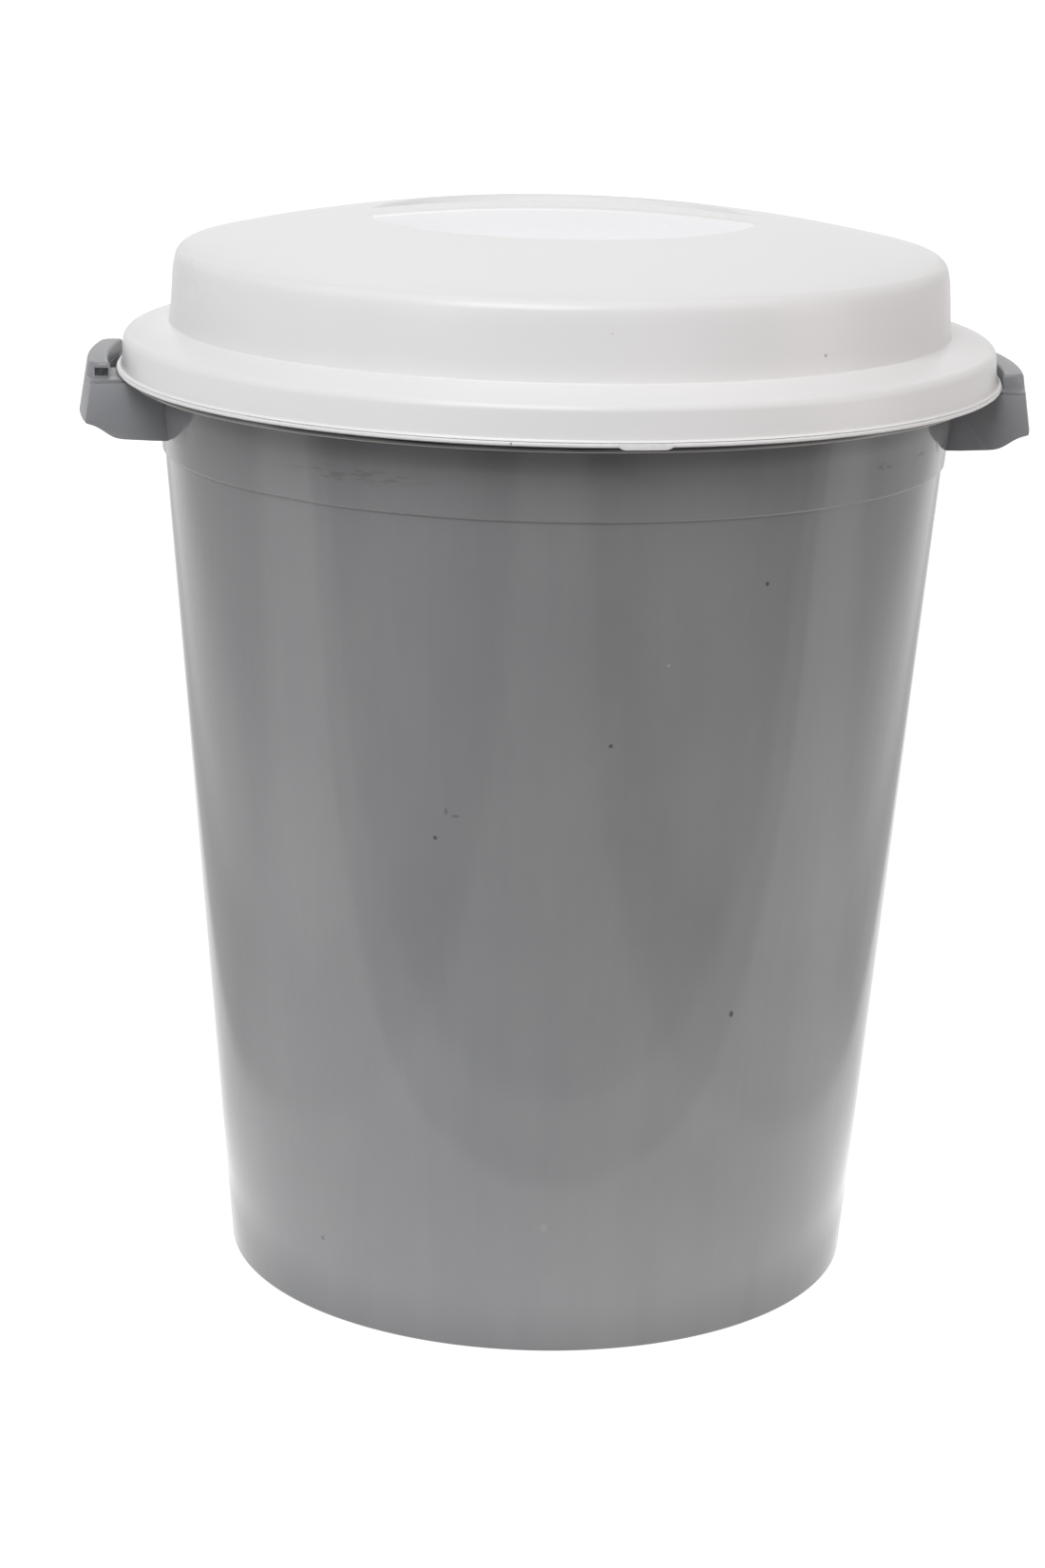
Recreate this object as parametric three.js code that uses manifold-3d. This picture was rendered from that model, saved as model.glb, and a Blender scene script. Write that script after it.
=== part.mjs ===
// A round lidded bucket of moulded plastic: a tall tapered body with two handles moulded on under its rim,
// and a domed lid that rests on the rim, with a round recess crossed by a grip bar.
// Millimetres and degrees. +Z is up, the bucket stands on z = 0, its axis is the Z axis and its handles lie along X.
import * as THREE from "three";
import { mergeVertices } from "three/addons/utils/BufferGeometryUtils.js";
import Module from "manifold-3d";

// ---- Driving dimensions ----

const roundSegments = 84; // facets around the bucket
const arcSteps = 6; // facets around a handle, from its middle to each end

// Body
const baseRadius = 163.9; // outer radius of the wall carried down to the ground
const wallSlope = 0.0807; // growth of the outer radius per millimetre of height
const wallThickness = 2.5;
const bottomEdgeRadius = 7;
const footWidth = 8.4; // width of the ring the bucket stands on
const footHeight = 3; // height of the underside above the ground inside that ring
const floorThickness = 3;
const floorCornerRadius = 9;
const rimTop = 486.7;
const rimThickness = 2.6;
const rimReach = 14.2; // how far the rim stands out past the wall
const lipDepth = 19.1; // height of the rim's turned-down lip
const lipThickness = 2.4;
const bandHeight = 56.5; // of the thicker band under the rim
const bandStep = 1.3; // how far the band stands proud

// Handles
const handleReach = 24.2; // how far a handle's outer wall stands out past the lip, at its lower edge
const handleDraft = 0.16; // how much its radius shrinks per millimetre upwards
const handleWall = 2.4;
const handleDepth = 19.5; // height of the outer wall
const webDrop = 9.8; // how much lower a web ends at the body than at the outer wall
const webAngle = 13; // end web's outer face, from the handle's middle
const plateStep = 1.5; // from the webs' top to the low top plate
const plateInset = 0.9; // degrees from a web's outer face to the end of the plate
const padStep = 7; // from the plate to the raised middle of the handle's top
const padInset = 2.6; // degrees from the plate's end to the raised middle's
const padGap = 9.6; // from the lip to the raised middle
const padCornerRadius = 9;
const slotGap = 1.2; // between the lip and the slot beside the raised middle
const windowHeight = 4.3; // opening in the end face of the left handle's raised middle
const windowWidth = 6.7;
const rootPadWidth = 11.5; // degrees of thickened wall beside a web
const rootPadStep = 1.5; // how far that thickening stands proud of the band
const rootPadCorner = 13;

// Lid
const lidTurn = -3.4; // the lid sits turned by this much, seen from above
const lidShift = [1.9, -0.1]; // and pushed this far to one side on the rim
const lidThickness = 2;
const skirtGap = 4.6; // from the rim's lip to the outside of the skirt
const skirtDepth = 20.2; // from the shelf's outer edge down to the lid's bottom
const beadStep = 2.6; // how far the bead stands proud of the skirt
const shelfWidth = 12.6; // the sloping shelf between skirt and upper wall
const shelfRound = 10; // from the shelf's outer edge to the outside of the skirt
const shelfRise = 3.7;
const restGap = 1.5; // from the rim's top to the underside of the shelf's outer edge
const upperWallInset = 3.8; // from the upper wall's foot to its top
const upperWallHeight = 30.6;
const shoulderRadius = 7.5;
const domeRise = 22; // from the shoulder to the middle
const recessRadius = 98;
const pocketSlope = 22; // width of the slope between the recess's edge and its floor
const pocketDepth = 24.1;
const barHalfWidth = 15;
const tabAngle = -79.7; // middle of the small pull tab on the bead
const tabHalfWidth = 12;
const tabDrop = 3;

// Sizes that follow from these
const lipRadius = baseRadius + wallSlope * rimTop + rimReach;
const lipBottom = rimTop - lipDepth;
const bandBottom = rimTop - bandHeight;
const webTop = lipBottom;
const plateTop = webTop + plateStep;
const padTop = plateTop + padStep;
const outerWallBottom = webTop - handleDepth;
const webRootBottom = outerWallBottom - webDrop;
const handleRadius = lipRadius + handleReach;
const padInnerRadius = lipRadius + padGap;
const plateAngle = webAngle - plateInset;
const padAngle = plateAngle - padInset;
const rootPadAngle = webAngle + rootPadWidth;
const skirtRadius = lipRadius + skirtGap;
const beadRadius = skirtRadius + beadStep;
const shelfOuter = skirtRadius - shelfRound;
const shelfOuterHeight = rimTop + restGap + lidThickness;
const shelfInner = shelfOuter - shelfWidth; // foot of the upper wall
const shelfInnerHeight = shelfOuterHeight + shelfRise;
const lidBottom = shelfOuterHeight - skirtDepth;
const upperWallRadius = shelfInner - upperWallInset; // at the start of the shoulder
const shoulderHeight = shelfInnerHeight + upperWallHeight;
const domeRadius = upperWallRadius - 0.75 * shoulderRadius; // where the dome meets the shoulder
const domeTop = shoulderHeight + shoulderRadius + domeRise;
const domeHeight = (r) => domeTop - domeRise * (r / domeRadius) ** 2;
const pocketFloor = domeHeight(recessRadius) - pocketDepth;

// ---- Helpers ----

const degrees = Math.PI / 180;
const wasm = await Module();
wasm.setup();

// A closed surface as a solid, turned outwards if it comes inside out.
function solid(geometry) {
  const bare = geometry.clone();
  bare.deleteAttribute("normal");
  bare.deleteAttribute("uv");
  const merged = mergeVertices(bare, 1e-4);
  const index = [];
  for (let i = 0; i < merged.index.count; i += 3) {
    const [a, b, c] = [0, 1, 2].map((k) => merged.index.getX(i + k));
    if (a !== b && b !== c && c !== a) index.push(a, b, c);
  }
  const build = (triVerts) =>
    new wasm.Manifold(
      new wasm.Mesh({
        numProp: 3,
        vertProperties: new Float32Array(merged.attributes.position.array),
        triVerts: new Uint32Array(triVerts),
      }),
    );
  const made = build(index);
  if (made.volume() > 0) return made;
  const turned = [];
  for (let i = 0; i < index.length; i += 3)
    turned.push(index[i], index[i + 2], index[i + 1]);
  return build(turned);
}

// A profile of [radius, height] points, turned once around the Z axis.
function turned(points) {
  const lathe = new THREE.LatheGeometry(
    points.map(([r, z]) => new THREE.Vector2(r, z)),
    roundSegments,
  );
  return solid(lathe.rotateX(Math.PI / 2));
}

// A solid through closed rings of the same number of points, capped at both ends.
// flat gives each point of the first ring in the plane of the cap.
function loft(rings, flat) {
  const count = flat.length;
  const position = rings.flat(2);
  const index = [];
  for (let k = 0; k + 1 < rings.length; k++)
    for (let i = 0; i < count; i++) {
      const j = (i + 1) % count;
      const [a, b, c, d] = [k * count + i, k * count + j, (k + 1) * count + j, (k + 1) * count + i];
      index.push(a, b, c, a, c, d);
    }
  const caps = THREE.ShapeUtils.triangulateShape(
    flat.map(([x, y]) => new THREE.Vector2(x, y)),
    [],
  );
  const last = (rings.length - 1) * count;
  const facing = THREE.ShapeUtils.isClockWise(flat.map(([x, y]) => new THREE.Vector2(x, y)));
  for (const [a, b, c] of caps) {
    if (facing) index.push(a, b, c, last + a, last + c, last + b);
    else index.push(a, c, b, last + a, last + b, last + c);
  }
  const geometry = new THREE.BufferGeometry();
  geometry.setAttribute("position", new THREE.Float32BufferAttribute(position, 3));
  geometry.setIndex(index);
  return solid(geometry);
}

const polar = (r, angle, z) => [r * Math.cos(angle * degrees), r * Math.sin(angle * degrees), z];

// A profile of [radius, height] points carried around the Z axis from one angle to another.
function sector(points, from, to, steps = 2 * arcSteps) {
  const rings = [];
  for (let k = 0; k <= steps; k++) {
    const angle = from + ((to - from) * k) / steps;
    rings.push(points.map(([r, z]) => polar(r, angle, z)));
  }
  return loft(rings, points);
}

// Points on a circular arc in a profile, angles from the outward direction towards up.
function arc([r, z], radius, from, to, steps) {
  const points = [];
  for (let k = 0; k <= steps; k++) {
    const a = (from + ((to - from) * k) / steps) * degrees;
    points.push([r + radius * Math.cos(a), z + radius * Math.sin(a)]);
  }
  return points;
}

// The same open profile, moved by a distance to its right-hand side.
function offsetProfile(points, distance) {
  return points.map(([r, z], i) => {
    const [r0, z0] = points[Math.max(i - 1, 0)];
    const [r1, z1] = points[Math.min(i + 1, points.length - 1)];
    const length = Math.hypot(r1 - r0, z1 - z0);
    return [Math.max(r + ((z1 - z0) / length) * distance, 0), z - ((r1 - r0) / length) * distance];
  });
}

function unite(...solids) {
  return solids.reduce((all, one) => all.add(one));
}

// ---- Body ----

const wallRadius = (z) => baseRadius + wallSlope * z;
const bandRadius = (z) => wallRadius(z) + bandStep;
const innerRadius = (z) => wallRadius(z) - wallThickness;
const draftAngle = Math.atan(wallSlope) / degrees;
const floorTop = footHeight + floorThickness;
const footOuter = wallRadius(bottomEdgeRadius) - bottomEdgeRadius;
const rimUnderside = rimTop - rimThickness;
const rimEdge = 2.6;

function bodyShell() {
  const lipInner = lipRadius - lipThickness;
  const bandEdge = bandStep * 0.9;
  return turned([
    [0, footHeight],
    [footOuter - footWidth - 1.6, footHeight],
    [footOuter - footWidth, 0],
    ...arc([footOuter, bottomEdgeRadius], bottomEdgeRadius, -90, -draftAngle, 5),
    [wallRadius(bandBottom - 0.4), bandBottom - 0.4],
    ...arc([bandRadius(bandBottom) - bandEdge, bandBottom + bandEdge], bandEdge, -75, -draftAngle, 3),
    [bandRadius(rimUnderside - 1.5), rimUnderside - 1.5],
    [bandRadius(rimUnderside) + 1.5, rimUnderside],
    [lipInner - 1.5, rimUnderside],
    [lipInner, rimUnderside - 1.5],
    [lipInner, lipBottom + 0.4],
    [lipInner + 0.4, lipBottom],
    [lipRadius - 0.4, lipBottom],
    [lipRadius, lipBottom + 0.4],
    ...arc([lipRadius - rimEdge, rimTop - rimEdge], rimEdge, 0, 90, 4),
    ...arc([innerRadius(rimTop) + 2, rimTop - 2], 2, 90, 180, 3),
    ...arc(
      [innerRadius(floorTop + floorCornerRadius) - floorCornerRadius, floorTop + floorCornerRadius],
      floorCornerRadius,
      -draftAngle,
      -90,
      4,
    ),
    [0, floorTop],
  ]);
}

const handleOuter = (z) => handleRadius - handleDraft * (z - outerWallBottom);

// Plan of the raised middle: part of a ring with rounded outer corners.
function padRing(inner, outer, halfAngle, corner, z) {
  const turn = corner / outer / degrees;
  const points = [];
  for (let k = 0; k <= 2 * arcSteps; k++)
    points.push([inner, -halfAngle + (halfAngle * k) / arcSteps]);
  for (let k = 0; k <= 4; k++) {
    const a = (k * 90) / 4 * degrees;
    points.push([outer - corner * (1 - Math.sin(a)), halfAngle - turn * (1 - Math.cos(a))]);
  }
  for (let k = 1; k < 2 * arcSteps; k++)
    points.push([outer, (halfAngle - turn) * (1 - k / arcSteps)]);
  for (let k = 4; k >= 0; k--) {
    const a = (k * 90) / 4 * degrees;
    points.push([outer - corner * (1 - Math.sin(a)), -halfAngle + turn * (1 - Math.cos(a))]);
  }
  return points.map(([r, angle]) => polar(r, angle, z));
}

function padBlock(inset, bottom, top, edge) {
  const ring = (extra, z) => {
    const inner = padInnerRadius + inset + extra;
    const outer = handleOuter(z) - inset - extra;
    const corner = Math.min(Math.max(padCornerRadius - inset, 2), 0.8 * (outer - inner));
    return padRing(inner, outer, padAngle - (inset + extra) / padInnerRadius / degrees, corner, z);
  };
  const rings = [ring(0, bottom), ring(0, top - edge)];
  if (edge) rings.push(ring(edge * 0.3, top - edge * 0.35), ring(edge, top));
  return loft(rings, rings[0].map(([x, y]) => [y, x]));
}

// The thickened wall beside a web, with its lower far corner rounded.
function rootPad() {
  const low = webRootBottom;
  const turn = rootPadCorner / wallRadius(low) / degrees;
  const start = webAngle - 0.4;
  const outline = [
    [start, webTop + 4],
    [start, low],
  ];
  for (let k = 0; k <= 4; k++) {
    const a = (-90 + (k * 90) / 4) * degrees;
    outline.push([rootPadAngle - turn + turn * Math.cos(a), low + rootPadCorner * (1 + Math.sin(a))]);
  }
  outline.push([rootPadAngle, webTop + 4]);
  const ring = (radius, shrink) =>
    outline.map(([angle, z]) => {
      const far = angle > start ? angle - shrink / wallRadius(z) / degrees : angle;
      const up = z < webTop ? z + shrink * 0.7 : z;
      return polar(radius(up), far, up);
    });
  return loft(
    [ring((z) => wallRadius(z) - 0.6, 0), ring((z) => bandRadius(z), 0), ring((z) => bandRadius(z) + rootPadStep, 1.2)],
    outline,
  );
}

// One handle, lying along +X. slotFrom and slotTo bound the slot beside its raised middle;
// a handle with a window has it in the end face of the raised middle towards positive angles.
function handle({ slotFrom, slotTo, window }) {
  const web = handleWall / handleRadius / degrees;
  const inWall = (z) => wallRadius(z) - 0.6;
  const rise = outerWallBottom - webRootBottom;
  const span = handleRadius - wallRadius(webRootBottom);
  const low = (part, height) => [wallRadius(webRootBottom) + span * part, webRootBottom + rise * height];
  const outerBottom = outerWallBottom + 1.2;
  const outside = sector(
    [
      [inWall(webRootBottom), webRootBottom],
      low(0.2, 0.04),
      low(0.38, 0.1),
      low(0.54, 0.15),
      low(0.63, 0.21),
      low(0.7, 0.34),
      low(0.77, 0.56),
      low(0.84, 0.77),
      low(0.905, 0.91),
      [handleRadius - 1, outerWallBottom],
      [handleOuter(outerBottom), outerBottom],
      [handleOuter(webTop), webTop],
      [inWall(webTop), webTop],
    ],
    -webAngle,
    webAngle,
  );
  const gapInner = (z) => bandRadius(z) - 0.3;
  const below = webRootBottom - 10;
  const inside = sector(
    [
      [gapInner(below), below],
      [handleOuter(below) - handleWall, below],
      [handleOuter(padTop) - handleWall, padTop],
      [gapInner(padTop), padTop],
    ],
    -webAngle + web,
    webAngle - web,
  );
  const plateBottom = plateTop - handleWall;
  const plate = sector(
    [
      [lipRadius - 1.2, plateBottom],
      [handleOuter(plateBottom) - 0.3, plateBottom],
      [handleOuter(plateTop - 0.5), plateTop - 0.5],
      [handleOuter(plateTop) - 0.5, plateTop],
      [lipRadius - 1.2, plateTop],
    ],
    -plateAngle,
    plateAngle,
  );
  const hollow = padBlock(handleWall, plateBottom - 5, padTop - handleWall, 0);
  const slot = sector(
    [
      [lipRadius + slotGap, plateBottom - 3],
      [padInnerRadius - 0.4, plateBottom - 3],
      [padInnerRadius - 0.4, plateTop + 3],
      [lipRadius + slotGap, plateTop + 3],
    ],
    slotFrom,
    slotTo,
  );
  // Where a web passes under the rim it runs up between the wall and the lip.
  const ribProfile = [
    [inWall(webTop - 6) + 1, webTop - 6],
    [lipRadius - 1.2, webTop - 6],
    [lipRadius - 1.2, rimUnderside + 1],
    [inWall(rimUnderside) + 1, rimUnderside + 1],
  ];
  let made = unite(outside.subtract(inside), plate, padBlock(0, plateBottom + 0.6, padTop, 1.2))
    .subtract(hollow)
    .subtract(slot);
  if (window)
    made = made.subtract(
      sector(
        [
          [padInnerRadius + 0.9, plateTop + 0.1],
          [padInnerRadius + 0.9 + windowWidth, plateTop + 0.1],
          [padInnerRadius + 0.9 + windowWidth, plateTop + 0.1 + windowHeight],
          [padInnerRadius + 0.9, plateTop + 0.1 + windowHeight],
        ],
        padAngle - 1.5,
        padAngle + 1,
        2,
      ),
    );
  const rootPads = [rootPad(), rootPad().mirror([0, 1, 0])];
  return unite(
    made,
    sector(ribProfile, webAngle - web, webAngle, 1),
    sector(ribProfile, -webAngle, -webAngle + web, 1),
    ...rootPads,
  );
}

function body() {
  const slotEnd = padAngle - 0.6;
  const right = handle({ slotFrom: -slotEnd, slotTo: slotEnd, window: false });
  const left = handle({ slotFrom: -slotEnd, slotTo: 2, window: true }).rotate([0, 0, 180]);
  return unite(bodyShell(), right, left);
}

// ---- Lid ----

// The lid's outside from the middle of the dome down to the end of its skirt.
// domeRadii are the radii at which the dome has a point.
function lidProfile(domeRadii) {
  return [
    ...domeRadii.map((r) => [r, domeHeight(r)]),
    ...arc([upperWallRadius - shoulderRadius, shoulderHeight], shoulderRadius, 77, 0, 4),
    [upperWallRadius + 1.1, shoulderHeight - 16.5],
    [upperWallRadius + 1.5, shelfInnerHeight + 8.5],
    [upperWallRadius + 2.2, shelfInnerHeight + 2.8],
    [shelfInner, shelfInnerHeight],
    [shelfOuter, shelfOuterHeight],
    [shelfOuter + 4.5, shelfOuterHeight - 0.7],
    [skirtRadius - 2.5, shelfOuterHeight - 1.9],
    [skirtRadius - 0.9, shelfOuterHeight - 3.9],
    [skirtRadius - 0.4, shelfOuterHeight - 6],
    [skirtRadius, lidBottom + 5],
    [skirtRadius + 0.3, lidBottom + 3.2],
    [beadRadius - 0.7, lidBottom + 2.7],
    [beadRadius, lidBottom + 1.9],
    [beadRadius, lidBottom + 0.7],
    [beadRadius - 0.8, lidBottom],
  ];
}

// Plan of a pocket beside the bar: the part of a circle beyond a straight side.
function pocketRing(radius, side, z) {
  const half = Math.acos(side / radius) / degrees;
  const points = [];
  for (let k = 0; k <= 24; k++) {
    const [x, y] = polar(radius, 90 - half + (2 * half * k) / 24, z);
    points.push([x, y, z]);
  }
  for (let k = 1; k < 8; k++)
    points.push([points[24][0] * (1 - k / 4), side, z]);
  return points;
}

function pocket(grow) {
  const side = barHalfWidth - grow;
  const level = (share, height) =>
    pocketRing(
      recessRadius - pocketSlope * share + grow,
      side + (grow ? 0 : 0.6 * (1 - height)),
      pocketFloor - grow + pocketDepth * height,
    );
  const rings = [
    level(1, 0),
    level(0.72, 0.1),
    level(0.44, 0.34),
    level(0.2, 0.66),
    level(0, 1),
    level(0, 1.6),
  ];
  return loft(rings, rings[0].map(([x, y]) => [x, y]));
}

function lid() {
  const domeEdge = upperWallRadius - 20;
  const outside = lidProfile([0, recessRadius * 0.5, recessRadius, (recessRadius + domeEdge) / 2, domeEdge]);
  const skirtInner = skirtRadius - lidThickness;
  const whole = turned([...outside, [skirtInner, lidBottom], [0, lidBottom]]);
  const shellInner = offsetProfile(lidProfile([0, recessRadius, domeEdge]).slice(0, -6), lidThickness);
  shellInner[0][0] = 0;
  const hollow = turned([...shellInner, [skirtInner, lidBottom + 4], [skirtInner, lidBottom - 1], [0, lidBottom - 1]]);
  const bowls = unite(pocket(lidThickness), pocket(lidThickness).mirror([0, 1, 0])).intersect(whole);
  const cuts = unite(pocket(0), pocket(0).mirror([0, 1, 0]));
  const half = tabHalfWidth / beadRadius / degrees;
  const tab = sector(
    [
      [beadRadius - 2.4, lidBottom + 0.9],
      [beadRadius - 2.2, lidBottom - tabDrop + 0.5],
      [beadRadius - 1.6, lidBottom - tabDrop],
      [beadRadius + 0.2, lidBottom - tabDrop],
      [beadRadius + 0.7, lidBottom - tabDrop + 0.5],
      [beadRadius + 0.4, lidBottom + 0.9],
    ],
    tabAngle - half,
    tabAngle + half,
    6,
  );
  return unite(whole.subtract(hollow), bowls, tab).subtract(cuts);
}

// ---- The object ----

function mesh(name, made, material) {
  const { vertProperties, triVerts } = made.getMesh();
  const geometry = new THREE.BufferGeometry();
  geometry.setAttribute("position", new THREE.BufferAttribute(new Float32Array(vertProperties), 3));
  geometry.setIndex(new THREE.BufferAttribute(new Uint32Array(triVerts), 1));
  const shown = new THREE.Mesh(geometry, material);
  shown.geometry.computeVertexNormals();
  shown.name = name;
  return shown;
}

const greyPlastic = new THREE.MeshStandardMaterial({ name: "grey_plastic", color: 0x85878b, roughness: 0.42, metalness: 0 });
const whitePlastic = new THREE.MeshStandardMaterial({ name: "white_plastic", color: 0xe9e9eb, roughness: 0.35, metalness: 0 });

const bucket = new THREE.Group();
bucket.name = "lidded_bucket";
bucket.add(mesh("bucket_body", body(), greyPlastic));

const lidMesh = mesh("lid", lid(), whitePlastic);
lidMesh.position.set(lidShift[0], lidShift[1], 0);
lidMesh.rotation.z = lidTurn * degrees;
bucket.add(lidMesh);

export default bucket;
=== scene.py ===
"""Dresses the lidded bucket: a grey moulded body with two handles under its rim, and a loose white domed lid.

Every surface is worked out with numpy in millimetres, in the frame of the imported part, and is put into its mesh
in metres. The bucket's axis is Z, its handles lie along X, and the lid is turned and pushed a little to one side.
"""

import math

import bpy
import numpy as np
from mathutils import Matrix


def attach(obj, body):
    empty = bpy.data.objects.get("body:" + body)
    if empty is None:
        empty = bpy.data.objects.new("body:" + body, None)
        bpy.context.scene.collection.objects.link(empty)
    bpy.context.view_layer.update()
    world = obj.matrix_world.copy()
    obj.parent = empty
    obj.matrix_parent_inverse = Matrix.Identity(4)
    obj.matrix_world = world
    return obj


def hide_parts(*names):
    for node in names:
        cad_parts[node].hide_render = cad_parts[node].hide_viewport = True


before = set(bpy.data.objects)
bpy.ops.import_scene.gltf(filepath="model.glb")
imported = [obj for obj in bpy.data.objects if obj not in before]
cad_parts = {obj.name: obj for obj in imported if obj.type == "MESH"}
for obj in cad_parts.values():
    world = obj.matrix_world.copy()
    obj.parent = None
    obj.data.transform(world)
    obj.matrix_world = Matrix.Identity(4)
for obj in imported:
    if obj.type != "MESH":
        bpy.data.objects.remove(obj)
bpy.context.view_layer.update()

MM = 0.001

# ---- Sizes, in millimetres and degrees, as in the part's source, apart from those marked "looks" ----

ROUND = 288  # columns around the body
BASE_RADIUS = 163.9
WALL_SLOPE = 0.0807
WALL = 2.5
FOOT_HEIGHT = 3.0
FOOT_WIDTH = 8.4
FOOT_DRAFT = 1.6
FLOOR = 3.0
FLOOR_CORNER = 9.0
BOTTOM_EDGE = 2.5  # looks: the photograph shows a tighter bottom edge than the source has
BAND_BOTTOM = 430.2
BAND_STEP = 1.3
RIM_TOP = 486.7
RIM_THICKNESS = 2.6
LIP_RADIUS = 217.38
LIP_BOTTOM = 465.6  # looks: low enough to show as a thin line under the lid's bead
LIP_THICKNESS = 2.4

HANDLE_RADIUS = 241.57
HANDLE_DRAFT = 0.16
HANDLE_WALL = 2.4
OUTER_WALL_BOTTOM = 448.1
OUTER_WALL_CORNER = (0.5, 0.2, 1.2)  # its lower corner: how far in and up it starts, and how far up it ends
WEB_ANGLE = 13.0
WEB_TOP = 467.6
WEB_ROOT_BOTTOM = 438.3
# A web's lower edge, from the wall outwards: (share of the way out, share of the way up).
WEB_EDGE = (
    (0.2, 0.04),
    (0.38, 0.10),
    (0.54, 0.15),
    (0.63, 0.21),
    (0.70, 0.34),
    (0.77, 0.56),
    (0.84, 0.77),
    (0.905, 0.91),
    (0.955, 0.97),
)
WEB_EDGE_POINTS = 26
PLATE_ANGLE = 12.1
PLATE_TOP = 469.1
PLATE_CHAMFER = (0.4, 0.3)
PAD_ANGLE = 9.5
PAD_FAR_ANGLE = 11.3  # looks: the end of the raised middle that is further from the camera
PAD_TOP = 476.1
PAD_INNER = 227.0
PAD_CORNER = 9.0
PAD_EDGE = 1.5
PAD_STEPS = 24
SLOT_ANGLE = 8.9
SHORT_SLOT_ANGLE = 2.0
SLOT_CLEAR = (1.2, 0.4)  # from the lip, and from the raised middle
WINDOW = (227.9, 234.6, 0.1, 4.4)  # inner and outer radius, bottom and top over the plate
WINDOW_REACH = (1.5, 1.0)  # degrees inside and past the end of the raised middle
RIB_HEIGHT = 6.0
INTO_WALL, INTO_BAND, INTO_LIP = 0.6, 0.3, 1.2  # how far pieces or cuts of a handle reach into the body

ROOT_PAD_ANGLE = 24.5
ROOT_PAD_CORNER = 13.0
ROOT_PAD_STEP = 0.45  # looks: a soft rise where the source has a plain step
ROOT_PAD_FADE = 9.0
ROOT_PAD_SINK = 0.06  # how far under the band the rise starts
ROOT_PAD_DEPTH = 1.6
ROOT_PAD_PARTS = 20.0  # parts of its height that its sections are counted in
MM_PER_DEGREE = 3.5  # around the wall at the height of the handles

LID_TURN = -3.4
LID_SHIFT = (1.9, -0.1)
LID_THICKNESS = 2.0
BEAD_RADIUS = 224.6
BEAD_TOP = 470.9
BEAD_BOTTOM = 469.6
DOME_TOP = 554.0
DOME_RISE = 22.0
DOME_RADIUS = 190.0
DOME_START, DOME_END = 103.0, 178.0  # where its wide rings start and end
# The lid's outside under its dome, as (radius, height, fillet).
LID_STEPS = (
    (196.1, 521.0, 0),  # the upper wall, near its top
    (197.2, 503.0, 0),  # the upper wall, near its foot
    (198.1, 493.9, 5.5),  # the wall meets the shelf
    (199.4, 493.9, 0),
    (212.4, 490.2, 0),  # the shelf slopes down
    (220.9, 488.6, 5.2),  # the shoulder over the skirt
    (222.0, 471.9, 1.5),  # the skirt meets the bead
    (BEAD_RADIUS, BEAD_TOP, 0.45),
    (BEAD_RADIUS, BEAD_BOTTOM, 0.5),
    (BEAD_RADIUS - 1.6, BEAD_BOTTOM, 0),
)
RECESS_RADIUS = 98.0
RECESS_EDGE = 0.45  # depth of the small round edge on its circle
RECESS_EDGE_REACH = 1.8
RECESS_EDGE_RINGS = (0.4, 0.9, 1.4, 2.0)
BAR_HALF = 15.0
BAR_EDGE = 2.6
BAR_EDGE_TURN = 78.0  # degrees that the bar's edge rounds over before its wall goes straight down
BAR_LEAN = 0.9
BAR_FOOT = 4.0
BAR_FADE = (10.0, 5.0)  # the recess's edge is gone up to this far from the bar's middle, and full this much further
POCKET_FLOOR = 524.0
POCKET_SLOPE = 22.0
POCKET_BLEND = 1.6
POCKET_WHITE_DEPTH = 2.0
POCKET_ROWS = 44
CHORD_COLUMNS = 121
TAB_ANGLE = -79.7
TAB_HALF = 13.0
TAB_BOTTOM, TAB_TOP = 468.3, 471.2
TAB_END = 1.1  # degrees over which each end rises
TAB_END_TOP = 470.6

BEVEL_FROM, SHARP_FROM, LID_SHARP_FROM, ROOT_PAD_SHARP_FROM = 34.0, 38.0, 40.0, 50.0
HANDLE_SOFTNESS, TAB_SOFTNESS = 0.45, 0.25


def wall_radius(z):
    """Radius of the wall's outside: it grows in proportion to height."""
    return BASE_RADIUS + WALL_SLOPE * z


def band_radius(z):
    """Radius of the thicker band under the rim: the wall's plus a step."""
    return wall_radius(z) + BAND_STEP


def inner_radius(z):
    """Radius of the wall's inside: the outside's less the thickness."""
    return wall_radius(z) - WALL


def in_wall(z):
    """Radius just inside the wall's plastic, where a handle's pieces start."""
    return wall_radius(z) - INTO_WALL


def handle_outer(z):
    """Radius of a handle's outside: it shrinks in proportion to height."""
    return HANDLE_RADIUS - HANDLE_DRAFT * (z - OUTER_WALL_BOTTOM)


def dome_height(r):
    """Height of the lid's dome: its top less a square of the radius."""
    return DOME_TOP - DOME_RISE * (r / DOME_RADIUS) ** 2


def smooth_step(k):
    """A share from 0 to 1 with level ends: 3 k^2 - 2 k^3."""
    return 3 * k**2 - 2 * k**3


# ---- Mesh makers ----


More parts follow.
